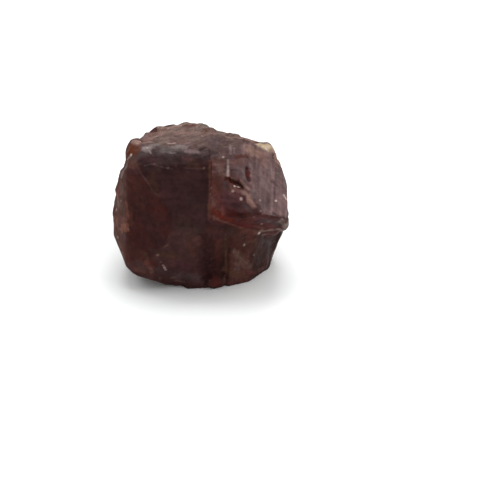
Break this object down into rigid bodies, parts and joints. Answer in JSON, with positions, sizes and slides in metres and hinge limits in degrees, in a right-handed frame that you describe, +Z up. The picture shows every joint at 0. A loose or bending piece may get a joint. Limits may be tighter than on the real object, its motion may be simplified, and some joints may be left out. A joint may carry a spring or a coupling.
{
  "type": "garnet crystal",
  "caption": "Stubby natural garnet crystal with flat growth faces, a raised growth block and a broken top, lying on its flat base.",
  "frame": {"origin": "middle of the bounding box of the crystal, at the level of its flat base", "axes": "+Z up from the base, -Y towards the front with the grown faces, +X towards the raised block"},
  "size_m": [0.012, 0.0108, 0.0099],
  "materials": {
    "garnet": "dark red-brown garnet, dull glassy growth faces, translucent deep red at thin edges, rough tan breaks"
  },
  "bodies": {
    "root": {"garnet_crystal": "garnet"}
  },
  "joints": []
}
